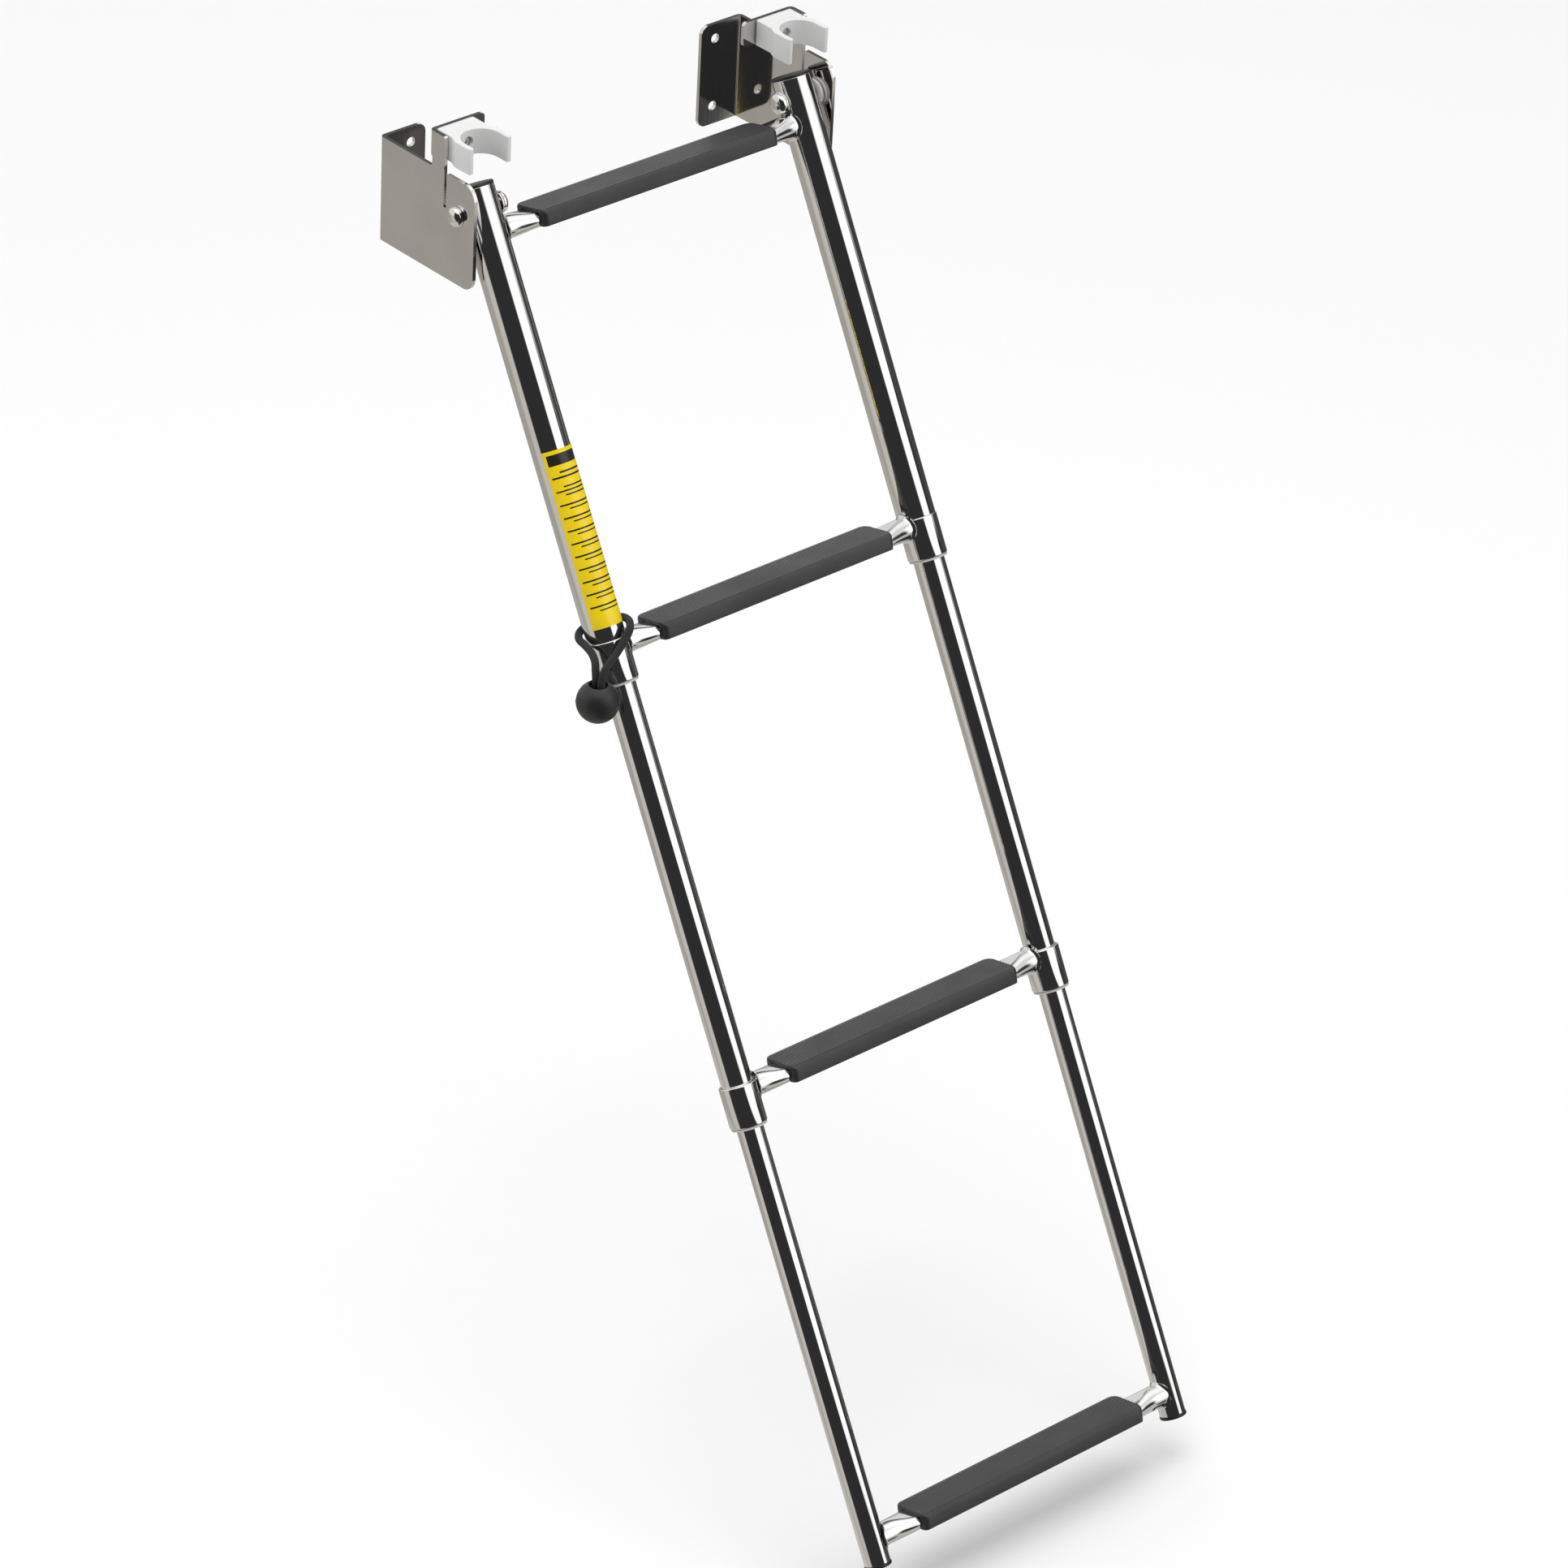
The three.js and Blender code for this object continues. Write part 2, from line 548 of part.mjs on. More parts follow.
// A hollow-mouthed ball: the cord's two ends go into a short bore at its top, which points straight up.
function ballGeometry() {
  const ball = toSolid(new THREE.SphereGeometry(BALL_RADIUS, 24, 16));
  const mouth = toSolid(disc(6, BALL_RADIUS - 5, BALL_RADIUS + 5, 20));
  const geometry = toGeometry(ball.subtract(mouth)).rotateX(LEAN);
  const centre = fromLeftTube(BALL_AT);
  return geometry.translate(centre.x, centre.y, centre.z);
}

function buildBungee() {
  const group = new THREE.Group();
  addNode(group, 'bungee_cord', cordGeometry(), blackCord);
  addNode(group, 'bungee_ball', ballGeometry(), blackRubber);
  return group;
}

// ---------------------------------------------------------------- assembly

function buildLadder() {
  const ladder = new THREE.Group();
  ladder.add(buildUpperSection(), buildMiddleSection(), buildLowerSection(), buildBungee());
  ladder.rotation.x = -LEAN;
  return ladder;
}

const boardingLadder = new THREE.Group();
boardingLadder.add(buildBrackets(), buildLadder());
boardingLadder.position.set(0, -PIVOT_REACH, PIVOT_RISE);
boardingLadder.updateMatrixWorld(true);

export default boardingLadder;
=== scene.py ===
import json
import math

import bmesh
import bpy
from mathutils import Matrix, Vector
from mathutils.geometry import delaunay_2d_cdt

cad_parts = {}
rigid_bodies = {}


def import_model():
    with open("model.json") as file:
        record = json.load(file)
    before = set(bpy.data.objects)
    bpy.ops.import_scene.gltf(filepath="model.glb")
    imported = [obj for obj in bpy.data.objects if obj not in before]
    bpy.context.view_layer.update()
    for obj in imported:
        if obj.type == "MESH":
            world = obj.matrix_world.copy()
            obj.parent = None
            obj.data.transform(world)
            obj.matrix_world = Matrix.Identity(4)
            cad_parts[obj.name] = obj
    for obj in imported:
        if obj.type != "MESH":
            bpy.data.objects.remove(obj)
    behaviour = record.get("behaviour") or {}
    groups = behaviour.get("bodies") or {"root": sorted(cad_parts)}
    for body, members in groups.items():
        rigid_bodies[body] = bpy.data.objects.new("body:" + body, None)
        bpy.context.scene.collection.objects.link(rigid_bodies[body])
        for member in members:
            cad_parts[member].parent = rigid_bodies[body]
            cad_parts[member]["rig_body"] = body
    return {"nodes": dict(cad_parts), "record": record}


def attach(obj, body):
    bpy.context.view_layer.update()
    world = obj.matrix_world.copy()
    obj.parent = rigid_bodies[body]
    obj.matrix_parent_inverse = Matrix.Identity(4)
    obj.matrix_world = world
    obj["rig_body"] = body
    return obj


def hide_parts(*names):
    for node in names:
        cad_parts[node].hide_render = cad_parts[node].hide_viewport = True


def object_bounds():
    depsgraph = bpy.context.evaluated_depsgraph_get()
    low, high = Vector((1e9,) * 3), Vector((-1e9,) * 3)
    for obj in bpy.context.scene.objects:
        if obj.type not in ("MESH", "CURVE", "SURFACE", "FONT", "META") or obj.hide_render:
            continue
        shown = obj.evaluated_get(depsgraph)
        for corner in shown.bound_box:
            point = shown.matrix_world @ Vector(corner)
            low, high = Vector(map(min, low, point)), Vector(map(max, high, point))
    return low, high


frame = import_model()
cad_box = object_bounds()
scene = bpy.context.scene
scene.view_settings.view_transform = "Standard"

# Sizes in millimetres, as in the CAD. Brackets are drawn round the pivot axis; ladder pieces are drawn
# with Z up along the side tubes, so a distance down the tubes is a negative height.
MM = 0.001
LEAN = math.radians(28.5)
BRACKET = Matrix.Translation(Vector((0, -77, 10)) * MM)
LADDER = BRACKET @ Matrix.Rotation(-LEAN, 4, "X")

TUBE_X = 130
UPPER = (11.5, 12.7)
MIDDLE = (9.4, 10.2)
LOWER = (7.5, 8.7)
RUNG_AT = (16, 284, 577, 879.4)
UPPER_TOP = -13.5
MIDDLE_TOP = 271
LOWER_TOP = 583.5
COLLAR_ABOVE, COLLAR_BELOW = 5, 22
UPPER_COLLAR, MIDDLE_COLLAR = 13.1, 12.3
COLLAR_BORE = (UPPER[0], 10.5)
FOOT = RUNG_AT[3] + 15.5
TILT = math.radians(15)
RUNG_RADIUS, RUNG_WALL_GAP, WELD = 7.9, 0.15, 2.2
RUNG_HALF_HEIGHT, RUNG_HALF_DEPTH = 5.0, 10.6
OVAL_FROM, ROUND_FROM, RUNG_STRAIGHT = 93, 117, 90
TREAD_HALF_LENGTH, TREAD_HALF_DEPTH = 96, 15
TREAD_BACK_CORNER, TREAD_FRONT_CORNER = 5, 3
SIDES = (("left", -1), ("right", 1))

CORD_DIAMETER = 5
BALL_AT = (-28, -12, 311)
BALL_RADIUS = 13.8
CORD_ROUTE = [
    (-28, -14.3, 301.6), (-28, -16.9, 296.6), (-26.6, -17, 291.8), (-23.2, -14.2, 287), (-19.6, -8.4, 282.4),
    (-16.9, -0.6, 278), (-13.6, 9.2, 273.6), (-7, 15.2, 270.6), (1.5, 16.6, 269), (9.8, 13.6, 268.4),
    (15.3, 7, 268.6), (16.7, -0.5, 269.6), (14.3, -8.7, 272), (8.4, -14.8, 276), (0, -17.6, 281),
    (-9.5, -19.4, 286.2), (-18.6, -21.4, 290.2), (-25, -22.6, 294), (-28, -21.8, 299), (-28, -19, 304.2),
]

# ---------------------------------------------------------------- camera

camera = bpy.data.objects.new("camera", bpy.data.cameras.new("camera"))
scene.collection.objects.link(camera)
scene.camera = camera
forward = Vector((0.5807, 0.6253, -0.5213)).normalized()
right = Vector((0.7504, -0.6595, 0.0448))
right = (right - forward * right.dot(forward)).normalized()
up = right.cross(forward)
turn = Matrix((right, up, -forward)).transposed().to_4x4()
camera.matrix_world = Matrix.Translation((-2.751, -3.201, 2.095)) @ turn
camera.data.sensor_width = 36
camera.data.lens = 170.24
camera.data.clip_start, camera.data.clip_end = 0.05, 60

# ---------------------------------------------------------------- materials


class Nodes:
    """A short way to write a material's node tree."""

    def __init__(self, name, color, roughness, metallic=0.0, sockets=()):
        self.material = bpy.data.materials.new(name)
        self.material.use_nodes = True
        self.tree = self.material.node_tree
        self.shader = self.tree.nodes["Principled BSDF"]
        self.shader.inputs["Base Color"].default_value = (*color, 1)
        self.shader.inputs["Roughness"].default_value = roughness
        self.shader.inputs["Metallic"].default_value = metallic
        for key, value in sockets:
            self.shader.inputs[key].default_value = value

    def add(self, kind, inputs, **settings):
        node = self.tree.nodes.new(kind)
        for key, value in settings.items():
            setattr(node, key, value)
        for key, value in inputs.items():
            if isinstance(value, bpy.types.NodeSocket):
                self.tree.links.new(value, node.inputs[key])
            else:
                node.inputs[key].default_value = value
        return node

    def link(self, socket, name):
        self.tree.links.new(socket, self.shader.inputs[name])

    def noise(self, scale, detail=3.0, stretch=(1, 1, 1)):
        coords = self.add("ShaderNodeTexCoord", {}).outputs["Object"]
        mapped = self.add("ShaderNodeMapping", {"Vector": coords, "Scale": stretch}).outputs["Vector"]
        inputs = {"Vector": mapped, "Scale": scale, "Detail": detail}
        return self.add("ShaderNodeTexNoise", inputs).outputs["Fac"]

    def remap(self, value, low, high, to_low, to_high):
        inputs = {"Value": value, "From Min": low, "From Max": high, "To Min": to_low, "To Max": to_high}
        return self.add("ShaderNodeMapRange", inputs).outputs["Result"]

    def bump(self, height, strength, distance):
        node = self.add("ShaderNodeBump", {"Height": height, "Strength": strength, "Distance": distance})
        self.link(node.outputs["Normal"], "Normal")

    def tint(self, fac, a, b):
        node = self.add("ShaderNodeMix", {"Factor": fac}, data_type="RGBA")
        node.inputs["A"].default_value = (*a, 1)
        node.inputs["B"].default_value = (*b, 1)
        self.link(node.outputs["Result"], "Base Color")


def polished_steel(name, light, dark, low, high, stretch):
    """Mirror-polished stainless steel: fine polishing lines, cloudy patches and faint smears."""
    n = Nodes(name, light, low, 1.0)
    lines = n.noise(700, 3, stretch)
    cloud = n.noise(26, 4)
    smear = n.add("ShaderNodeMath", {0: lines, 1: cloud}, operation="MULTIPLY").outputs[0]
    n.link(n.remap(smear, 0.12, 0.42, low, high), "Roughness")
    n.tint(n.remap(cloud, 0.35, 0.7, 0, 1), light, dark)
    n.bump(lines, 0.02, 0.00015)
    return n.material


def moulded(name, light, dark, low, high, grain, strength, sockets=()):
    """Moulded plastic or rubber: a fine grain, slight mottling and uneven gloss."""
    n = Nodes(name, light, low, 0.0, sockets)
    fine = n.noise(grain, 4)
    cloud = n.noise(30, 5)
    n.link(n.remap(cloud, 0.3, 0.7, low, high), "Roughness")
    n.tint(n.remap(cloud, 0.3, 0.75, 0, 1), light, dark)
    n.bump(fine, strength, 0.0002)
    return n.material


def braided(name):
    """Braided cord: two sets of strands crossing at a slant, worked out from the cord's own UV map."""
    n = Nodes(name, (0.02, 0.02, 0.022), 0.7, 0.0, (("Sheen Weight", 0.06), ("Sheen Roughness", 0.5)))
    uv = n.add("ShaderNodeTexCoord", {}).outputs["UV"]
    fields = []
    for angle in (0.9, -0.9):
        turned = n.add("ShaderNodeMapping", {"Vector": uv, "Rotation": (0, 0, angle), "Scale": (8, 8, 1)})
        inputs = {"Vector": turned.outputs["Vector"], "Scale": 1.0, "Distortion": 0.2}
        wave = n.add("ShaderNodeTexWave", inputs)
        fields.append(wave.outputs["Fac"])
    strands = n.add("ShaderNodeMath", {0: fields[0], 1: fields[1]}, operation="MAXIMUM").outputs[0]
    n.tint(strands, (0.003, 0.003, 0.0035), (0.018, 0.018, 0.02))
    n.bump(strands, 0.6, 0.0004)
    return n.material


tube_steel = polished_steel("tube_steel", (0.86, 0.85, 0.835), (0.81, 0.80, 0.785), 0.02, 0.07, (1, 1, 0.02))
rung_steel = polished_steel("rung_steel", (0.83, 0.83, 0.82), (0.76, 0.765, 0.76), 0.07, 0.16, (0.03, 1, 1))
sheet_steel = polished_steel("sheet_steel", (0.80, 0.785, 0.765), (0.74, 0.725, 0.70),
                             0.04, 0.10, (1, 1, 0.04))
nut_steel = polished_steel("nut_steel", (0.84, 0.83, 0.82), (0.78, 0.775, 0.77), 0.06, 0.14, (1, 1, 1))
black_tread = moulded("black_tread", (0.032, 0.032, 0.034), (0.024, 0.024, 0.026), 0.27, 0.36, 1800, 0.12)
black_cap = moulded("black_cap", (0.018, 0.018, 0.02), (0.012, 0.012, 0.014), 0.35, 0.45, 900, 0.06)
ball_rubber = moulded("ball_rubber", (0.021, 0.021, 0.022), (0.015, 0.015, 0.016), 0.36, 0.5, 1500, 0.08)
nylon = (("Subsurface Weight", 0.15), ("Subsurface Radius", (0.004, 0.004, 0.004)))
white_nylon = moulded("white_nylon", (0.76, 0.76, 0.755), (0.72, 0.72, 0.715), 0.3, 0.42, 700, 0.04, nylon)
grey_nylon = moulded("grey_nylon", (0.60, 0.59, 0.57), (0.54, 0.53, 0.51), 0.4, 0.55, 900, 0.05)
cord_fabric = braided("cord_fabric")
sticker_yellow = moulded("sticker_yellow", (0.94, 0.70, 0.012), (0.90, 0.65, 0.012), 0.22, 0.3, 400, 0.03)
sticker_ink = moulded("sticker_ink", (0.02, 0.018, 0.012), (0.028, 0.025, 0.016), 0.25, 0.35, 400, 0.03)

BY_SLOT = {
    "polished_steel": tube_steel, "fastener_steel": nut_steel, "tread_plastic": black_tread,
    "cap_plastic": black_cap, "white_nylon": white_nylon, "grey_nylon": grey_nylon,
    "ball_rubber": ball_rubber, "cord_fabric": cord_fabric, "sticker_vinyl": sticker_yellow,
}
SLOT_OF = {part["node"]: part["material_slot"] for part in frame["record"]["subparts"]}
for node, slot_name in SLOT_OF.items():
    data = frame["nodes"][node].data
    data.materials.clear()
    data.materials.append(BY_SLOT[slot_name])

# ---------------------------------------------------------------- mesh helpers


def place(name, mesh, node, where, material=None, bevel=None, sharp=32):
    """Makes a smooth piece that stands for the CAD node, on the same body and with its material slot."""
    obj = bpy.data.objects.new(name, mesh)
    scene.collection.objects.link(obj)
    obj.matrix_world = where
    mesh.materials.append(material or BY_SLOT[SLOT_OF[node]])
    mesh.shade_smooth()
    mesh.set_sharp_from_angle(angle=math.radians(sharp))
    if bevel:
        modifier = obj.modifiers.new("edges", "BEVEL")
        modifier.width = bevel * MM
        modifier.segments = 3
        modifier.limit_method = "ANGLE"
        modifier.angle_limit = math.radians(35)
        modifier.harden_normals = True
    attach(obj, frame["nodes"][node]["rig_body"])
    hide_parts(node)
    return obj


def to_mesh(name, points, faces):
    mesh = bpy.data.meshes.new(name)
    mesh.from_pydata([Vector(p) * MM for p in points], [], faces)
    tidy = bmesh.new()
    tidy.from_mesh(mesh)
    bmesh.ops.remove_doubles(tidy, verts=tidy.verts, dist=1e-7)
    bmesh.ops.recalc_face_normals(tidy, faces=tidy.faces)
    tidy.to_mesh(mesh)
    tidy.free()
    return mesh


def fillet(corners, steps=4, closed=True):
    """Rounds the corners of an outline given as (x, y, radius)."""
    out = []
    count = len(corners)
    for i, corner in enumerate(corners):
        here = Vector(corner[:2])
        radius = corner[2] if len(corner) > 2 else 0
        if not radius or (not closed and i in (0, count - 1)):
            out.append(tuple(here))
            continue
        before = (Vector(corners[i - 1][:2]) - here).normalized()
        after = (Vector(corners[(i + 1) % count][:2]) - here).normalized()
        half = before.angle(after) / 2
        reach = radius / math.tan(half)
        centre = here + (before + after).normalized() * (radius / math.sin(half))
        start, end = here + before * reach, here + after * reach
        a0 = math.atan2(start.y - centre.y, start.x - centre.x)
        sweep = math.atan2(end.y - centre.y, end.x - centre.x) - a0
        sweep = (sweep + math.pi) % (2 * math.pi) - math.pi
        for k in range(steps + 1):
            a = a0 + sweep * k / steps
            out.append((centre.x + radius * math.cos(a), centre.y + radius * math.sin(a)))
    return out


def turned(name, profile, centre=(0, 0, 0), axis="Z", sides=96):
    """A round solid. The profile is (radius, height) points; it closes on itself or on the axis."""
    points, faces = [], []
    for k in range(sides):
        a = 2 * math.pi * k / sides
        for r, z in profile:
            points.append((r * math.cos(a), r * math.sin(a), z))
    n = len(profile)
    for k in range(sides):
        for i in range(n):
            j = (i + 1) % n
            if profile[i][0] == 0 and profile[j][0] == 0:
                continue
            a, b = k * n, ((k + 1) % sides) * n
            ring = [a + i, b + i, b + j, a + j]
            if profile[i][0] == 0:
                ring = [a + i, b + j, a + j]
            elif profile[j][0] == 0:
                ring = [a + i, b + i, a + j]
            faces.append(ring)
    if axis == "X":
        points = [(z, y, -x) for x, y, z in points]
    if axis == "Y":
        points = [(x, z, -y) for x, y, z in points]
    cx, cy, cz = centre
    return to_mesh(name, [(x + cx, y + cy, z + cz) for x, y, z in points], faces)


def prism(name, outline, low, high, axis):
    """Extrudes a closed outline along an axis: (y, z) along X, or (x, y) along Z."""
    n = len(outline)
    points = []
    for level in (low, high):
        for a, b in outline:
            points.append((level, a, b) if axis == "X" else (a, b, level))
    faces = [[i, (i + 1) % n, n + (i + 1) % n, n + i] for i in range(n)]
    faces += [list(range(n))[::-1], list(range(n, 2 * n))]
    return to_mesh(name, points, faces)


# ---------------------------------------------------------------- side tubes, collars and bushes


def ring_profile(inner, outer, low, high, edge=0.3):
    corners = [(inner, low, edge), (outer, low, edge), (outer, high, edge), (inner, high, edge)]
    return fillet(corners, 3)


def tube(node, radii, top, bottom, material=None, edge=0.3, sides=96):
    side = -1 if node.endswith("left") else 1
    profile = ring_profile(radii[0], radii[1], -bottom, -top, edge)
    mesh = turned(node, profile, (side * TUBE_X, 0, 0), "Z", sides)
    return place(node + "_smooth", mesh, node, LADDER, material)


for side, sign in SIDES:
    at = (sign * TUBE_X, 0, 0)
    tube(f"upper_tube_{side}", UPPER, UPPER_TOP, RUNG_AT[1] - COLLAR_ABOVE - 0.05)
    tube(f"middle_tube_{side}", MIDDLE, MIDDLE_TOP, RUNG_AT[2] + 6.5)
    tube(f"lower_tube_{side}", LOWER, LOWER_TOP, FOOT)
    for part, rung, radii, edge in (
        ("upper", RUNG_AT[1], (COLLAR_BORE[0], UPPER_COLLAR), 0.7),
        ("middle", RUNG_AT[2], (COLLAR_BORE[1], MIDDLE_COLLAR), 0.8),
    ):
        tube(f"{part}_collar_{side}", radii, rung - COLLAR_ABOVE, rung + COLLAR_BELOW, None, edge)

    for node, bore, stem, lip, end, length in (
        (f"upper_bush_{side}", 10.4, 11.2, 12.6, RUNG_AT[1] + COLLAR_BELOW, 30),
        (f"middle_bush_{side}", 8.9, 10.2, 11.8, RUNG_AT[2] + COLLAR_BELOW, 15),
    ):
        low = -end - 0.15
        profile = fillet([(bore, low - 1.4, 0.2), (lip, low - 1.4, 0.5), (lip, low, 0.2), (stem, low),
                          (stem, low + length), (bore, low + length)], 3)
        place(node + "_smooth", turned(node, profile, at), node, LADDER)

    profile = fillet([(0, -6.5), (11.2, -6.5, 0.4), (11.2, 0.1), (12.7, 0.1, 0.2), (12.7, 2, 0.9), (0, 2)], 5)
    mesh = turned("plug", profile, (sign * TUBE_X, 0, -UPPER_TOP))
    place(f"upper_end_plug_{side}_smooth", mesh, f"upper_end_plug_{side}", LADDER)

    profile = fillet([(0, 10), (7.2, 10, 0.4), (7.2, -0.1), (9, -0.1, 0.2), (9, -2.3, 0.9), (0, -2.3)], 5)
    mesh = turned("foot", profile, (sign * TUBE_X, 0, -FOOT))
    place(f"foot_cap_{side}_smooth", mesh, f"foot_cap_{side}", LADDER)

    high = -MIDDLE_TOP + 1.5
    skirt = -MIDDLE_TOP - 4.5
    profile = fillet([(9.4, high - 1.2), (10.5, high - 1.2), (10.5, skirt), (11.2, skirt, 0.2),
                      (11.2, high, 0.5), (9.4, high, 0.2)], 3)
    place(f"middle_slider_{side}_smooth", turned("slider", profile, at), f"middle_slider_{side}", LADDER)

    face = -LOWER_TOP + 0.3
    profile = fillet([(5.5, face - 12.3), (7.2, face - 12.3), (7.2, face), (9.2, face, 0.2),
                      (9.2, face + 4, 0.6), (5.5, face + 4, 0.3)], 3)
    place(f"lower_slider_{side}_smooth", turned("slider", profile, at), f"lower_slider_{side}", LADDER)

# ---------------------------------------------------------------- rungs and treads


def tilted(x, y, z, at):
    """A point of a rung or tread, drawn level round its own axis, where it lies on the ladder."""
    return (x, y * math.cos(TILT) - z * math.sin(TILT), y * math.sin(TILT) + z * math.cos(TILT) - at)


def rung_mesh(name, at, side_radius):
    """Round at the side tubes with a weld bead, squashed to a flat oval under the tread."""
    around, rows = 72, 40
    middle_share = 0.15
    points = []
    for row in range(-rows, rows + 1):
        share = abs(row) / rows
        for k in range(around):
            a = 2 * math.pi * k / around
            c, s = math.cos(a), math.sin(a)
            end_y = RUNG_RADIUS * c * math.cos(TILT) - RUNG_RADIUS * s * math.sin(TILT)
            end = TUBE_X - math.sqrt(side_radius ** 2 - end_y ** 2) + RUNG_WALL_GAP
            if share < middle_share:
                x = share / middle_share * RUNG_STRAIGHT
            else:
                x = RUNG_STRAIGHT + (end - RUNG_STRAIGHT) * (share - middle_share) / (1 - middle_share)
            oval = min(1, max(0, (ROUND_FROM - x) / (ROUND_FROM - OVAL_FROM)))
            oval = oval * oval * (3 - 2 * oval)
            flat_y = RUNG_HALF_HEIGHT * c + (RUNG_HALF_DEPTH - RUNG_HALF_HEIGHT) * math.tanh(6 * c)
            y = RUNG_RADIUS * c + (flat_y - RUNG_RADIUS * c) * oval
            z = RUNG_RADIUS * s + (RUNG_HALF_HEIGHT * s - RUNG_RADIUS * s) * oval
            left = end - x
            if left < WELD:
                bead = WELD * (1 - math.sqrt(max(0, 1 - (1 - left / WELD) ** 2))) * 0.8
                y += c * bead
                z += s * bead
            points.append(tilted(x if row >= 0 else -x, y, z, at))
    faces = []
    for row in range(2 * rows):
        for k in range(around):
            a, b = row * around, (row + 1) * around
            faces.append([a + k, a + (k + 1) % around, b + (k + 1) % around, b + k])
    faces.append(list(range(around)))
    faces.append([2 * rows * around + k for k in range(around)])
    return to_mesh(name, points, faces)


def tread_outline():
    """Section of a tread, front to the left, with shallow grooves on top and a hooked lip at each side."""
    half, top, bottom = TREAD_HALF_DEPTH, 7.3, -3.6
    under, inside = 5.2, 12.6
    pitch, groove = 2.5, 0.38
    corners = [(-half, bottom, 0.8), (-half, top, 3.0)]
    for i in range(-4, 5):
        x = i * pitch
        corners += [(x - 0.42, top, 0.12), (x - 0.2, top - groove, 0.1)]
        corners += [(x + 0.2, top - groove, 0.1), (x + 0.42, top, 0.12)]
    corners += [(half, top, 2.2), (half, bottom, 0.8)]
    corners += [(inside - 1.4, bottom, 0.5), (inside, bottom + 2.2, 0.4), (inside, under, 0.8)]
    corners += [(-inside, under, 0.8), (-inside, bottom + 2.2, 0.4), (1.4 - inside, bottom, 0.5)]
    return fillet(corners, 5)


def tread_mesh(name, at):
    """The section run along X and drawn in towards the ends, so the corners are round seen from above."""
    outline = tread_outline()
    wall_from = 12
    drops = [0, 0.4, 1, 1.8, 2.8, 3.9, 5]
    stations = [d - TREAD_HALF_LENGTH for d in drops] + [TREAD_HALF_LENGTH - d for d in reversed(drops)]
    points = []
    for x in stations:
        left = TREAD_HALF_LENGTH - abs(x)
        back, front = [r - math.sqrt(r * r - (r - min(left, r)) ** 2)
                       for r in (TREAD_BACK_CORNER, TREAD_FRONT_CORNER)]
        for y, z in outline:
            if y > wall_from:
                y -= back
            elif y < -wall_from:
                y += front
            else:
                y = max(front - wall_from, min(wall_from - back, y))
            points.append(tilted(x, y, z, at))
    n, last = len(outline), (len(stations) - 1) * len(outline)
    faces = []
    for row in range(len(stations) - 1):
        a, b = row * n, (row + 1) * n
        faces += [[a + k, a + (k + 1) % n, b + (k + 1) % n, b + k] for k in range(n)]
    faces += [list(range(n))[::-1], [last + k for k in range(n)]]
    return to_mesh(name, points, faces)


RUNG_SIDES = (UPPER[1], UPPER_COLLAR, MIDDLE_COLLAR, LOWER[1])
for number, (at, radius) in enumerate(zip(RUNG_AT, RUNG_SIDES), 1):
    node = f"rung_{number}"
    place(node + "_smooth", rung_mesh(node, at, radius), node, LADDER, rung_steel, sharp=50)
    node = f"tread_{number}"
    place(node + "_moulded", tread_mesh(node, at), node, LADDER, bevel=0.35)

# ---------------------------------------------------------------- hull brackets

SHEET, PLATE_IN, PLATE_OUT = 2.5, 145.5, 148
BACK, TAB_BACK = 77, 29
BEND_IN = 1.0
CLIP_BOTTOM, CLIP_TOP, SCREW_Z = 31, 48.5, 40
BEND_MID = BEND_IN + SHEET / 2


def bent(s, z, offset, back, sign):
    """Where a point of the flat sheet lies once it is bent: s runs back along the plate and then inward."""
    start = back - SHEET - BEND_IN
    arc = BEND_MID * math.pi / 2
    radius = BEND_MID + offset
    if s <= start:
        x, y = PLATE_IN + SHEET / 2 + offset, s
    elif s < start + arc:
        a = (s - start) / BEND_MID
        x = PLATE_IN - BEND_IN + radius * math.cos(a)
        y = start + radius * math.sin(a)
    else:
        x, y = PLATE_IN - BEND_IN - (s - start - arc), start + radius
    return (sign * x, y, z)


def flat_length(back, x):
    """Distance along the flat sheet of a point on the bent leaf, whose |X| is given."""
    return back - SHEET - BEND_IN + BEND_MID * math.pi / 2 + PLATE_IN - BEND_IN - x


def circle(cx, cz, radius, count=40):
    return [(cx + radius * math.cos(2 * math.pi * k / count), cz + radius * math.sin(2 * math.pi * k / count))
            for k in range(count)]


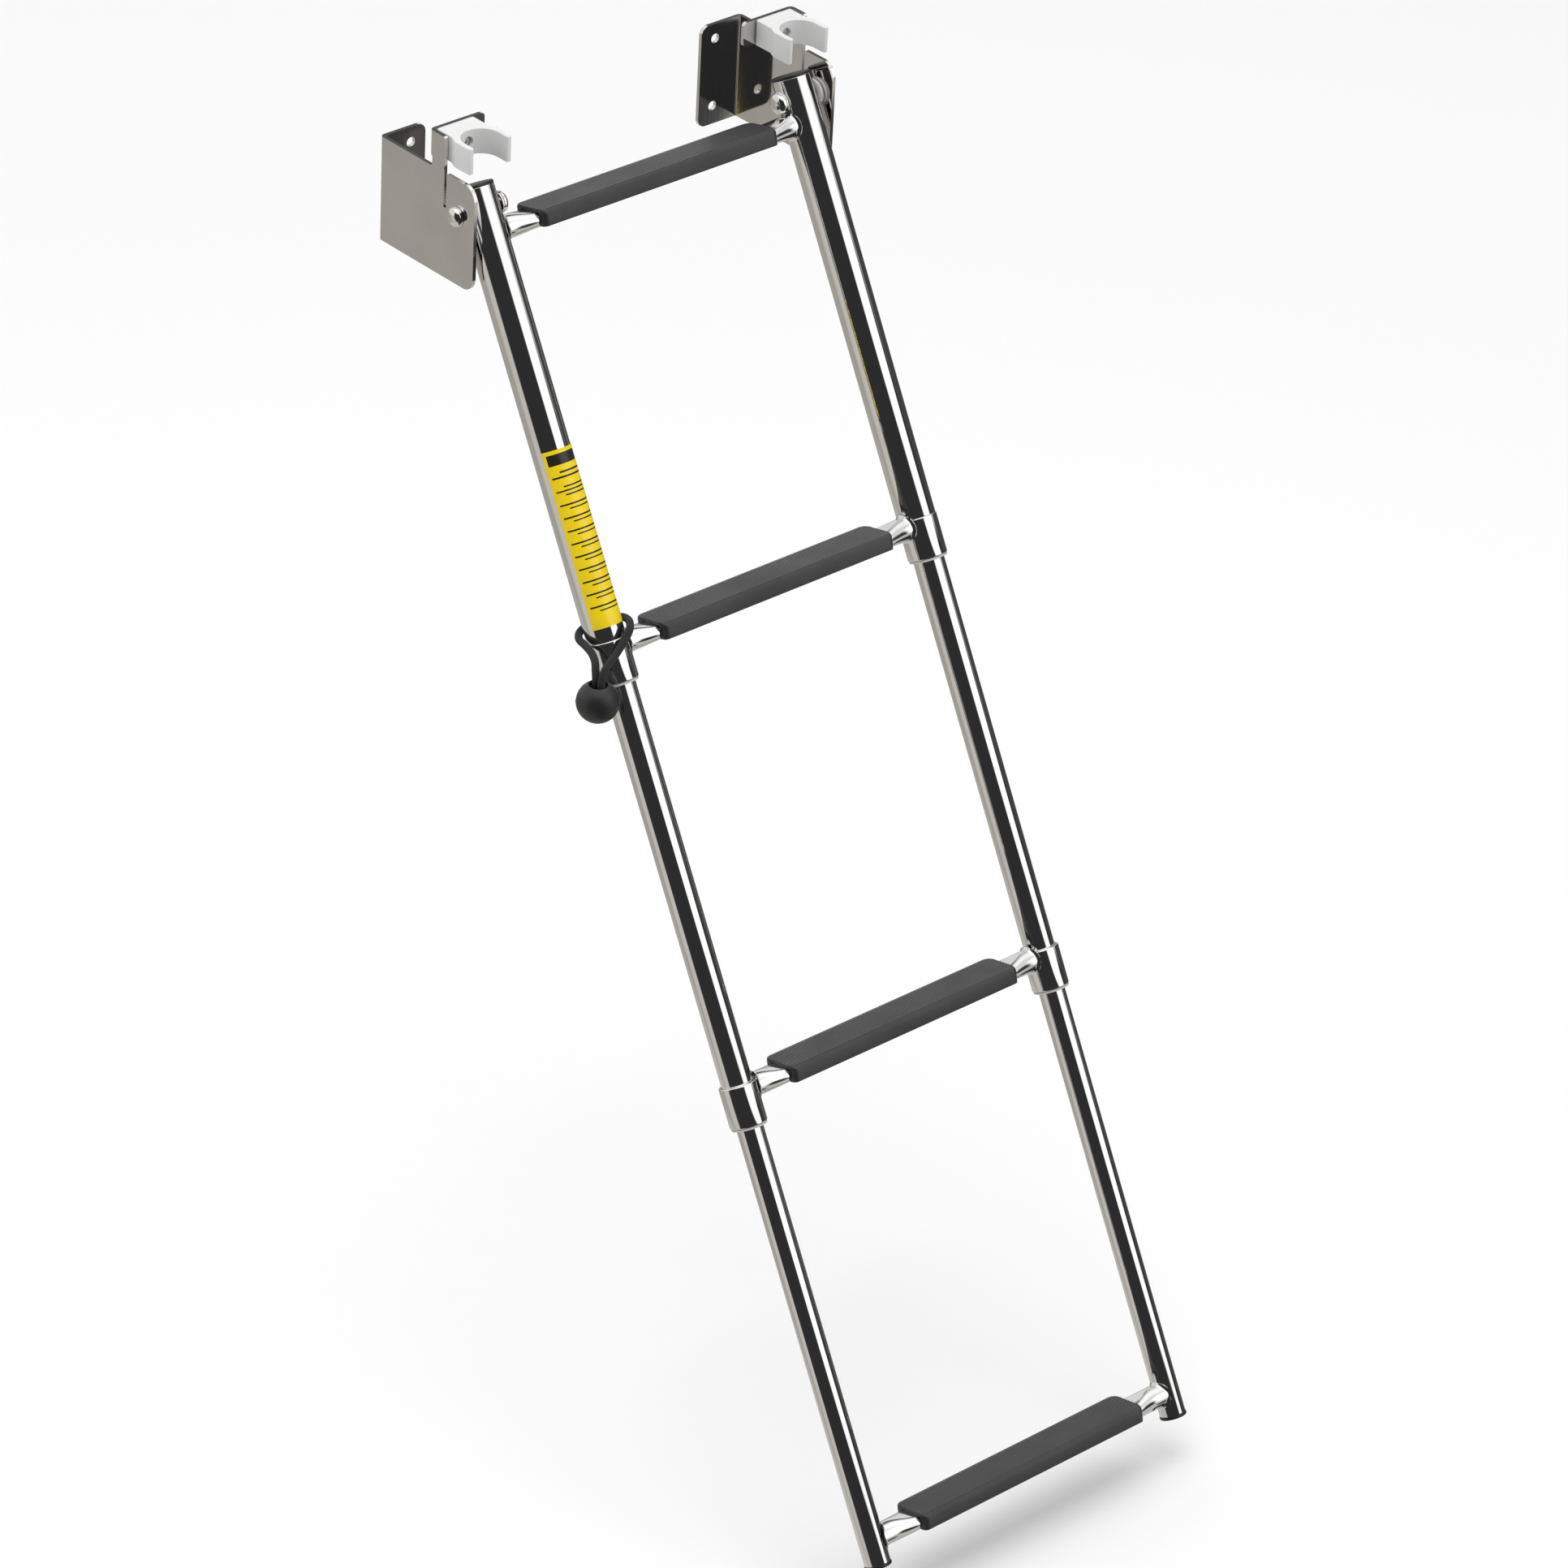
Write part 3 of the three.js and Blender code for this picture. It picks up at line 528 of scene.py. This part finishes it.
def bracket_mesh(name, sign):
    flange_end = flat_length(BACK, 113.4)
    tab_end = flat_length(TAB_BACK, 106)
    outer = fillet([
        (-16, -47, 9), (flange_end, -47, 6), (flange_end, 24.4, 6), (TAB_BACK - 3.5, 24.4, 1.2),
        (TAB_BACK - 3.5, 31.5, 1.0), (tab_end, 31.5, 3), (tab_end, 48.4, 3), (13.8, 48.4, 1.5),
        (13.8, 1), (11.4, 1), (11.4, 24.4, 0.8), (-16, 24.4, 10),
    ], 8)
    holes = [circle(flat_length(BACK, 125), z, 3.25) for z in (-34, 14)]
    holes += [circle(flat_length(TAB_BACK, 130), 40, 2.4, 24), circle(0, 0, 4.4, 32)]
    loops = [outer] + holes
    points, edges = [], []
    for loop in loops:
        first = len(points)
        points += [Vector(p) for p in loop]
        edges += [(first + i, first + (i + 1) % len(loop)) for i in range(len(loop))]
    made = delaunay_2d_cdt(points, edges, [], 1, 1e-6)
    flat = bmesh.new()
    verts = [flat.verts.new((p.x, p.y, 0)) for p in made[0]]
    for face in made[2]:
        x = sum(made[0][i].x for i in face) / len(face)
        z = sum(made[0][i].y for i in face) / len(face)
        if any((Vector((x, z)) - Vector(c)).length < r for c, r in (
            ((flat_length(BACK, 125), -34), 3.2), ((flat_length(BACK, 125), 14), 3.2),
            ((flat_length(TAB_BACK, 130), 40), 2.35), ((0, 0), 4.3),
        )):
            continue
        flat.faces.new([verts[i] for i in face])
    arc = BEND_MID * math.pi / 2
    for back in (BACK, TAB_BACK):
        start = back - SHEET - BEND_IN
        for k in range(9):
            everything = flat.verts[:] + flat.edges[:] + flat.faces[:]
            cut_at = (start + arc * k / 8, 0, 0)
            bmesh.ops.bisect_plane(flat, geom=everything, plane_co=cut_at, plane_no=(1, 0, 0))
    flat.verts.ensure_lookup_table()
    for v in flat.verts:
        v.index = flat.verts[:].index(v) if False else v.index
    flat.verts.index_update()
    spots = [(v.co.x, v.co.y) for v in flat.verts]
    triangles = [[v.index for v in f.verts] for f in flat.faces]
    rims = [(e.verts[0].index, e.verts[1].index) for e in flat.edges if len(e.link_faces) == 1]
    flat.free()

    def bend(spot, offset):
        s, z = spot
        back = TAB_BACK if z > 28 else BACK
        return bent(s, z, offset, back, sign)

    count = len(spots)
    solid = [bend(p, SHEET / 2) for p in spots] + [bend(p, -SHEET / 2) for p in spots]
    faces = [list(t) for t in triangles] + [[i + count for i in reversed(t)] for t in triangles]
    faces += [[a, b, b + count, a + count] for a, b in rims]
    return to_mesh(name, solid, faces)


def clip_outline(sign):
    bore, arm, tip, base = 13.1, 4.0, -9, 14.4
    back = TAB_BACK - SHEET - 0.3
    half = [(0.01, back), (base, back, 1.2), (base, 11.5, 3.0), (bore + arm, 5.5, 5.0),
            (bore + arm - 0.3, tip, 1.9),
            (bore, tip, 1.7), (bore, -0.01)]
    side = fillet(half, 6, closed=False)
    side += [(bore * math.cos(a), bore * math.sin(a)) for a in [math.pi / 2 * k / 24 for k in range(24)]]
    other = [(-x, y) for x, y in reversed(side)]
    loop = side + [(0, bore)] + other
    return [(sign * TUBE_X + x, y) for x, y in loop]


def carved(mesh, bevel, cutters):
    """Rounds the edges of a blank, then cuts the other meshes out of it."""
    blank = bpy.data.objects.new("blank", mesh)
    scene.collection.objects.link(blank)
    edges = blank.modifiers.new("edges", "BEVEL")
    edges.width, edges.segments = bevel * MM, 4
    edges.limit_method, edges.angle_limit = "ANGLE", math.radians(35)
    tools = []
    for cutter in cutters:
        tool = bpy.data.objects.new("tool", cutter)
        scene.collection.objects.link(tool)
        hole = blank.modifiers.new("hole", "BOOLEAN")
        hole.object, hole.solver = tool, "EXACT"
        tools.append(tool)
    bpy.context.view_layer.update()
    cut = blank.evaluated_get(bpy.context.evaluated_depsgraph_get())
    result = bpy.data.meshes.new_from_object(cut)
    for obj in [blank] + tools:
        bpy.data.objects.remove(obj)
    return result


def rod(name, radius, low, high, centre):
    return turned(name, [(0, low), (radius, low), (radius, high), (0, high)], centre, "Y", 48)


def dome(radius, base, rise, steps=14):
    """Profile points from the rim of a low dome to its middle; a negative rise domes the other way."""
    angles = [math.pi / 2 * k / steps for k in range(steps)]
    return [(radius * math.cos(a), base + rise * math.sin(a)) for a in angles] + [(0, base + rise)]


def pivot_pieces(side, sign):
    """The bolt from the inner side of the tube out, its washer, the spacer and the cap nut."""
    head, seat, end = 115.7, PLATE_OUT + 0.3, PLATE_OUT + 3.4
    bolt = dome(7.1, head - 1.2, -3.8)[::-1]
    bolt += fillet([(7.1, head, 0.3), (4, head), (4, end, 0.4), (0, end)], 3, False)
    nut = [(6.4, seat)] + dome(6.4, seat + 1.5, 4.0) + [(0, seat + 3.4), (4.3, seat + 3.4), (4.3, seat)]
    washer = ring_profile(4.4, 7.1, 116, 117, 0.15)
    spacer = ring_profile(4.4, 9, 143, 145.2, 0.3)
    for name, profile in (("bolt", bolt), ("nut", nut), ("washer", washer), ("spacer", spacer)):
        node = f"pivot_{name}_{side}"
        mesh = turned(node, [(r, sign * x) for r, x in profile], (0, 0, 0), "X", 64)
        place(node + "_smooth", mesh, node, BRACKET)


for side, sign in SIDES:
    node = f"bracket_{side}"
    place(node + "_bent", bracket_mesh(node, sign), node, BRACKET, sheet_steel, bevel=0.3)
    node = f"clip_{side}"
    screw_at = (sign * TUBE_X, 0, SCREW_Z)
    holes = [rod("bore", 2.4, 5, 31, screw_at), rod("recess", 3.8, 5, 17.6, screw_at)]
    blank = prism(node, clip_outline(sign), CLIP_BOTTOM, CLIP_TOP, "Z")
    place(node + "_moulded", carved(blank, 0.9, holes), node, BRACKET)
    node = f"clip_screw_{side}"
    profile = fillet([(0, 14.9), (3.2, 15, 1.1), (3.3, 17.3, 0.2), (2, 17.3),
                      (2, 33.4, 0.4), (0, 33.4)], 4, False)
    place(node + "_smooth", turned(node, profile, screw_at, "Y", 48), node, BRACKET)
    pivot_pieces(side, sign)

# ---------------------------------------------------------------- label


def label_mesh(name):
    """A sticker round the inner and front half of the tube, with plain bars in place of any print."""
    start, sweep = math.radians(-156), math.radians(180)
    top = -155
    across, bars = [0.06, 0.14, 0.2, 0.8, 0.86, 0.94], []
    rows = [2.5]
    heading = ((7, 4), (1.2, 2), (1.2, 5), (1, 1.6), (1, 1.6), (1, 5))
    pairs = ((1.1, 1.7), (0.9, 4.6)) * 9
    for height, gap in heading + pairs:
        bars.append((rows[-1], rows[-1] + height))
        rows += [rows[-1] + height, rows[-1] + height + gap]
    heights = sorted(set([0.0] + [r for r in rows if r < 112] + [115.0]))
    steps = sorted(set([k / 48 for k in range(49)] + across))
    inner, outer = 12.74, 12.9
    points, faces, inks = [], [], []
    for r in (outer, inner):
        for h in heights:
            for t in steps:
                a = start + sweep * t
                points.append((-TUBE_X + r * math.cos(a), r * math.sin(a), top - h))
    w, rings = len(steps), len(heights)
    layer = w * rings
    for j in range(rings - 1):
        middle = (heights[j] + heights[j + 1]) / 2
        band = next((k for k, (lo, hi) in enumerate(bars) if lo <= middle <= hi), None)
        for i in range(w - 1):
            t = (steps[i] + steps[i + 1]) / 2
            faces.append([j * w + i, j * w + i + 1, (j + 1) * w + i + 1, (j + 1) * w + i])
            limit = 0.94 if band is None or band % 3 else 0.8
            inks.append(band is not None and (0.2 if band % 2 else 0.06) <= t <= limit)
    for j in range(rings - 1):
        for i in range(w - 1):
            corners = (j * w + i, (j + 1) * w + i, (j + 1) * w + i + 1, j * w + i + 1)
            faces.append([layer + k for k in corners])
            inks.append(False)
    loop = list(range(w)) + [(j + 1) * w - 1 for j in range(1, rings)]
    loop += list(range(layer - 2, layer - w - 1, -1)) + [j * w for j in range(rings - 2, 0, -1)]
    for k in range(len(loop)):
        a, b = loop[k], loop[(k + 1) % len(loop)]
        faces.append([b, a, a + layer, b + layer])
        inks.append(False)
    mesh = bpy.data.meshes.new(name)
    mesh.from_pydata([Vector(p) * MM for p in points], [], faces)
    mesh.materials.append(sticker_yellow)
    mesh.materials.append(sticker_ink)
    for polygon, ink in zip(mesh.polygons, inks):
        polygon.material_index = int(ink)
    return mesh


label = bpy.data.objects.new("label_printed", label_mesh("label"))
scene.collection.objects.link(label)
label.matrix_world = LADDER
label.data.shade_smooth()
label.data.set_sharp_from_angle(angle=math.radians(32))
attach(label, "upper_section")
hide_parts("label")

# ---------------------------------------------------------------- bungee


def spline_points(route, per_span=6):
    """Centripetal Catmull-Rom through the route, the same curve that the CAD sweeps."""
    pts = [Vector(p) for p in route]
    ends = [pts[0] * 2 - pts[1]] + pts + [pts[-1] * 2 - pts[-2]]
    out = []
    for i in range(1, len(ends) - 2):
        p = ends[i - 1:i + 3]
        t = [0.0]
        for a, b in zip(p, p[1:]):
            t.append(t[-1] + max((b - a).length ** 0.5, 1e-4))
        for k in range(per_span):
            u = t[1] + (t[2] - t[1]) * k / per_span
            a1 = p[0] * ((t[1] - u) / (t[1] - t[0])) + p[1] * ((u - t[0]) / (t[1] - t[0]))
            a2 = p[1] * ((t[2] - u) / (t[2] - t[1])) + p[2] * ((u - t[1]) / (t[2] - t[1]))
            a3 = p[2] * ((t[3] - u) / (t[3] - t[2])) + p[3] * ((u - t[2]) / (t[3] - t[2]))
            b1 = a1 * ((t[2] - u) / (t[2] - t[0])) + a2 * ((u - t[0]) / (t[2] - t[0]))
            b2 = a2 * ((t[3] - u) / (t[3] - t[1])) + a3 * ((u - t[1]) / (t[3] - t[1]))
            out.append(b1 * ((t[2] - u) / (t[2] - t[1])) + b2 * ((u - t[1]) / (t[2] - t[1])))
    return out + [pts[-1]]


def cord_mesh(name, line, radius, sides=20):
    """A tube swept along the line, with a UV map that runs along it for the braid."""
    points, faces = [], []
    travelled = [0.0]
    for a, b in zip(line, line[1:]):
        travelled.append(travelled[-1] + (b - a).length)
    tangent = (line[1] - line[0]).normalized()
    normal = tangent.orthogonal().normalized()
    for i, p in enumerate(line):
        ahead = (line[min(i + 1, len(line) - 1)] - line[max(i - 1, 0)]).normalized()
        normal = (normal - ahead * normal.dot(ahead)).normalized()
        other = ahead.cross(normal)
        for k in range(sides):
            a = 2 * math.pi * k / sides
            points.append(p + (normal * math.cos(a) + other * math.sin(a)) * radius)
    for i in range(len(line) - 1):
        for k in range(sides):
            a, b = i * sides, (i + 1) * sides
            faces.append([a + k, a + (k + 1) % sides, b + (k + 1) % sides, b + k])
    faces.append(list(range(sides))[::-1])
    faces.append([(len(line) - 1) * sides + k for k in range(sides)])
    mesh = bpy.data.meshes.new(name)
    mesh.from_pydata([p * MM for p in points], [], faces)
    uv = mesh.uv_layers.new(name="along")
    for polygon in mesh.polygons[:-2]:
        row, k = divmod(polygon.index, sides)
        corners = ((k, row), (k + 1, row), (k + 1, row + 1), (k, row + 1))
        for loop, (across, along) in zip(polygon.loop_indices, corners):
            uv.data[loop].uv = (across / sides * 2, travelled[along] / (2 * math.pi * radius) * 2)
    mesh.materials.append(cord_fabric)
    mesh.shade_smooth()
    return mesh, travelled[-1]


line = spline_points([(across - TUBE_X, back, -down) for across, back, down in CORD_ROUTE])
mesh, cord_length = cord_mesh("bungee", line, CORD_DIAMETER / 2)
cord = bpy.data.objects.new("bungee_cord_braided", mesh)
scene.collection.objects.link(cord)
cord.matrix_world = LADDER
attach(cord, "upper_section")
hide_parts("bungee_cord")

rows = []
for k in range(41):
    angle = math.pi * k / 40
    rows.append((BALL_RADIUS * math.sin(angle), -BALL_RADIUS * math.cos(angle)))
seam = [(r + 0.15 * math.exp(-(z / 0.35) ** 2), z) for r, z in rows]
mouth_top = math.sqrt(BALL_RADIUS ** 2 - 36)
profile = [(0.0, -BALL_RADIUS)] + [p for p in seam[1:] if p[1] < mouth_top - 0.4]
mouth = [(6.5, mouth_top - 0.25), (6.0, mouth_top, 0.25), (6.0, 8.8, 0.4), (0, 8.8)]
profile += fillet(mouth, 4, closed=False)
ball_mesh = turned("ball", profile, (0, 0, 0), "Z", 72)
centre = Vector((BALL_AT[0] - TUBE_X, BALL_AT[1], -BALL_AT[2])) * MM
ball = place("bungee_ball_moulded", ball_mesh, "bungee_ball",
             LADDER @ Matrix.Translation(centre) @ Matrix.Rotation(LEAN, 4, "X"))

# ---------------------------------------------------------------- studio

low = cad_box[0].z - 0.03
floor = bpy.data.objects.new("floor", bpy.data.meshes.new("floor"))
scene.collection.objects.link(floor)
floor.data.from_pydata([(-30, -30, low), (30, -30, low), (30, 30, low), (-30, 30, low)], [], [(0, 1, 2, 3)])
floor_paint = Nodes("floor_paint", (0.9, 0.9, 0.9), 0.9, 0.0, (("Specular IOR Level", 0.0),))
floor.data.materials.append(floor_paint.material)
floor.visible_glossy = False

world = bpy.data.worlds.new("studio")
scene.world = world
world.use_nodes = True


class Sky:
    """The soft studio round the object, as brightness by direction."""

    def __init__(self, tree):
        self.tree = tree
        self.ray = self.node("ShaderNodeTexCoord").outputs["Generated"]
        self.color = None

    def node(self, kind, **settings):
        made = self.tree.nodes.new(kind)
        for key, value in settings.items():
            setattr(made, key, value)
        return made

    def lobe(self, towards, inside, outside):
        """1 near a direction, fading to 0; the two limits are angles in degrees."""
        dot = self.node("ShaderNodeVectorMath", operation="DOT_PRODUCT")
        self.tree.links.new(self.ray, dot.inputs[0])
        dot.inputs[1].default_value = Vector(towards).normalized()
        fade = self.node("ShaderNodeMapRange", interpolation_type="SMOOTHSTEP")
        self.tree.links.new(dot.outputs["Value"], fade.inputs["Value"])
        fade.inputs["From Min"].default_value = math.cos(math.radians(outside))
        fade.inputs["From Max"].default_value = math.cos(math.radians(inside))
        return fade.outputs["Result"]

    def paint(self, where, color):
        mix = self.node("ShaderNodeMix", data_type="RGBA")
        if self.color is None:
            mix.inputs["A"].default_value = (*color, 1)
            mix.inputs["Factor"].default_value = 0
        else:
            self.tree.links.new(self.color, mix.inputs["A"])
            mix.inputs["B"].default_value = (*color, 1)
            self.tree.links.new(where, mix.inputs["Factor"])
        self.color = mix.outputs["Result"]


sky = Sky(world.node_tree)
sky.paint(None, (0.80, 0.80, 0.80))
sky.paint(sky.lobe((0, 0, -1), 84, 92), (0.40, 0.385, 0.355))
sky.paint(sky.lobe((0, 0, -1), 40, 55), (0.60, 0.585, 0.55))
sky.paint(sky.lobe((-0.93, 0.22, -0.3), 10, 28), (0.58, 0.565, 0.53))
sky.paint(sky.lobe((0.25, -0.85, -0.35), 48, 60), (0.03, 0.03, 0.032))
sky.paint(sky.lobe((0.60, -0.55, -0.58), 22, 28), (0.56, 0.545, 0.51))
sky.paint(sky.lobe((0.58, -0.625, -0.52), 5, 9), (0.05, 0.05, 0.052))
sky.paint(sky.lobe((0.56, -0.82, -0.02), 10, 15), (1.15, 1.15, 1.15))
sky.paint(sky.lobe((0.58, 0.62, 0.52), 9, 13), (0.12, 0.12, 0.12))
sky.paint(sky.lobe((-0.75, -0.62, 0.22), 44, 52), (0.03, 0.03, 0.032))
sky.paint(sky.lobe((0.98, 0.05, 0.02), 26, 36), (0.06, 0.06, 0.062))
sky.paint(sky.lobe((0.42, -0.80, 0.42), 22, 28), (1.25, 1.25, 1.25))
sky.paint(sky.lobe((0, 0, 1), 30, 50), (1.3, 1.3, 1.3))
background = world.node_tree.nodes["Background"]
world.node_tree.links.new(sky.color, background.inputs["Color"])


def lamp(name, place_at, towards, size, power):
    light = bpy.data.objects.new(name, bpy.data.lights.new(name, "AREA"))
    scene.collection.objects.link(light)
    light.data.shape = "DISK"
    light.data.size = size
    light.data.energy = power
    light.location = place_at
    light.rotation_mode = "QUATERNION"
    light.rotation_quaternion = (Vector(towards) - Vector(place_at)).to_track_quat("-Z", "Y")
    light.visible_glossy = False
    return light


lamp("top_soft", (-0.6, -0.6, 3.6), (0, -0.3, -0.4), 3.0, 58)
